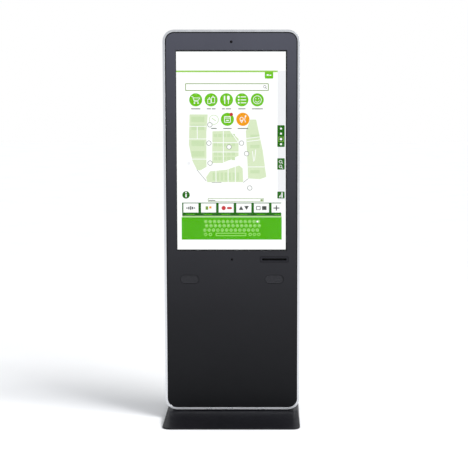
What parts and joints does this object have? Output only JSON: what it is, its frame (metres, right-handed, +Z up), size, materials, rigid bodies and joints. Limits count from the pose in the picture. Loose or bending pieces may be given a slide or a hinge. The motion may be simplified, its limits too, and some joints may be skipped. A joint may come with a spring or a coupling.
{
  "type": "touchscreen kiosk",
  "caption": "Free-standing slab kiosk with a tall portrait touchscreen, aluminium edge, receipt outlet, speaker grilles, lockable rear service door and low steel foot.",
  "frame": {"origin": "on the floor under the middle of the foot", "axes": "+Z up along the cabinet's height; the screen faces -Y; +X to the right of someone facing the screen"},
  "size_m": [0.65, 0.546, 1.87],
  "materials": {
    "trim_aluminium": "satin anodised",
    "panel_paint": "fine satin powder coat, charcoal",
    "base_paint": "satin powder coat, near black",
    "gasket_rubber": "matt",
    "cover_glass": "polished",
    "lcd_screen": "lit display",
    "zinc_steel": "zinc plated sheet",
    "dark_steel": "matt black",
    "black_plastic": "fine moulded texture",
    "lens_glass": "polished",
    "lock_metal": "bright nickel",
    "roll_paper": "plain paper, stands in as a matt light material",
    "cable_jacket": "satin PVC",
    "bolt_zinc": "zinc plated"
  },
  "bodies": {
    "root": {"perimeter_frame": "trim_aluminium", "front_panel": "panel_paint", "rear_panel": "panel_paint", "inlet_panel": "panel_paint", "base_cover": "base_paint", "panel_gasket": "gasket_rubber", "touch_glass": "cover_glass", "lcd_panel": "lcd_screen", "lcd_chassis": "zinc_steel", "display_rail_upper": "zinc_steel", "display_rail_lower": "zinc_steel", "printer_chassis": "zinc_steel", "power_supply": "zinc_steel", "upright_left": "zinc_steel", "upright_right": "zinc_steel", "hinge_leaf_upper": "zinc_steel", "hinge_leaf_lower": "zinc_steel", "lock_keeper_upper": "zinc_steel", "lock_keeper_lower": "zinc_steel", "media_pc": "dark_steel", "base_plate": "dark_steel", "pedestal": "dark_steel", "webcam_housing": "black_plastic", "sensor_housing": "black_plastic", "speaker_grille_left": "black_plastic", "speaker_grille_right": "black_plastic", "speaker_driver_left": "black_plastic", "speaker_driver_right": "black_plastic", "receipt_bezel": "black_plastic", "fan_frame_left": "black_plastic", "fan_frame_right": "black_plastic", "power_inlet": "black_plastic", "webcam_lens": "lens_glass", "sensor_lens": "lens_glass", "mains_lead": "cable_jacket", "display_cable": "cable_jacket", "pc_power_lead": "cable_jacket", "base_bolt_front_left": "bolt_zinc", "base_bolt_front_right": "bolt_zinc", "base_bolt_rear_left": "bolt_zinc", "base_bolt_rear_right": "bolt_zinc"},
    "service_door": {"service_door": "panel_paint", "door_leaf_upper": "zinc_steel", "door_leaf_lower": "zinc_steel", "lock_barrel_upper": "lock_metal", "lock_barrel_lower": "lock_metal"},
    "lock_upper": {"lock_plug_upper": "lock_metal", "lock_cam_upper": "zinc_steel"},
    "lock_lower": {"lock_plug_lower": "lock_metal", "lock_cam_lower": "zinc_steel"},
    "fan_rotor_left": {"fan_rotor_left": "black_plastic"},
    "fan_rotor_right": {"fan_rotor_right": "black_plastic"},
    "paper_roll": {"paper_roll": "roll_paper"},
    "platen_roller": {"platen_roller": "gasket_rubber"},
    "printer_cover": {"printer_cover": "black_plastic"},
    "power_rocker": {"power_rocker": "black_plastic"},
    "levelling_foot_front_left": {"levelling_foot_front_left": "bolt_zinc"},
    "levelling_foot_front_right": {"levelling_foot_front_right": "bolt_zinc"},
    "levelling_foot_rear_left": {"levelling_foot_rear_left": "bolt_zinc"},
    "levelling_foot_rear_right": {"levelling_foot_rear_right": "bolt_zinc"}
  },
  "joints": [
    {"name": "service_door_hinge", "type": "hinge", "parent": "root", "child": "service_door", "pos_m": [-0.313, 0.0603, 0.56], "axis": [0, 0, 1], "range_deg": [0, 110]},
    {"name": "lock_upper_turn", "type": "hinge", "parent": "service_door", "child": "lock_upper", "pos_m": [0.25, 0.05, 0.89], "axis": [0, -1, 0], "range_deg": [0, 90]},
    {"name": "lock_lower_turn", "type": "hinge", "parent": "service_door", "child": "lock_lower", "pos_m": [0.25, 0.05, 0.26], "axis": [0, -1, 0], "range_deg": [0, 90]},
    {"name": "fan_left_spin", "type": "hinge", "parent": "root", "child": "fan_rotor_left", "pos_m": [-0.08, 0.04, 1.69], "axis": [0, 1, 0], "continuous": true},
    {"name": "fan_right_spin", "type": "hinge", "parent": "root", "child": "fan_rotor_right", "pos_m": [0.08, 0.04, 1.69], "axis": [0, 1, 0], "continuous": true},
    {"name": "paper_roll_spin", "type": "hinge", "parent": "root", "child": "paper_roll", "pos_m": [0.203, 0.012, 0.757], "axis": [1, 0, 0], "continuous": true},
    {"name": "platen_spin", "type": "hinge", "parent": "root", "child": "platen_roller", "pos_m": [0.203, -0.03, 0.772], "axis": [1, 0, 0], "continuous": true},
    {"name": "printer_cover_hinge", "type": "hinge", "parent": "root", "child": "printer_cover", "pos_m": [0.203, 0.002, 0.8003], "axis": [1, 0, 0], "range_deg": [0, 85]},
    {"name": "power_rocker_tilt", "type": "hinge", "parent": "root", "child": "power_rocker", "pos_m": [-0.23, 0.0554, 0.115], "axis": [1, 0, 0], "range_deg": [-12, 0]},
    {"name": "levelling_foot_front_left_screw", "type": "slide", "parent": "root", "child": "levelling_foot_front_left", "axis": [0, 0, -1], "range_m": [0, 0.01]},
    {"name": "levelling_foot_front_right_screw", "type": "slide", "parent": "root", "child": "levelling_foot_front_right", "axis": [0, 0, -1], "range_m": [0, 0.01]},
    {"name": "levelling_foot_rear_left_screw", "type": "slide", "parent": "root", "child": "levelling_foot_rear_left", "axis": [0, 0, -1], "range_m": [0, 0.01]},
    {"name": "levelling_foot_rear_right_screw", "type": "slide", "parent": "root", "child": "levelling_foot_rear_right", "axis": [0, 0, -1], "range_m": [0, 0.01]}
  ],
  "couplings": [
    {"joint": "platen_spin", "follows": "paper_roll_spin", "ratio": 4.1429}
  ]
}
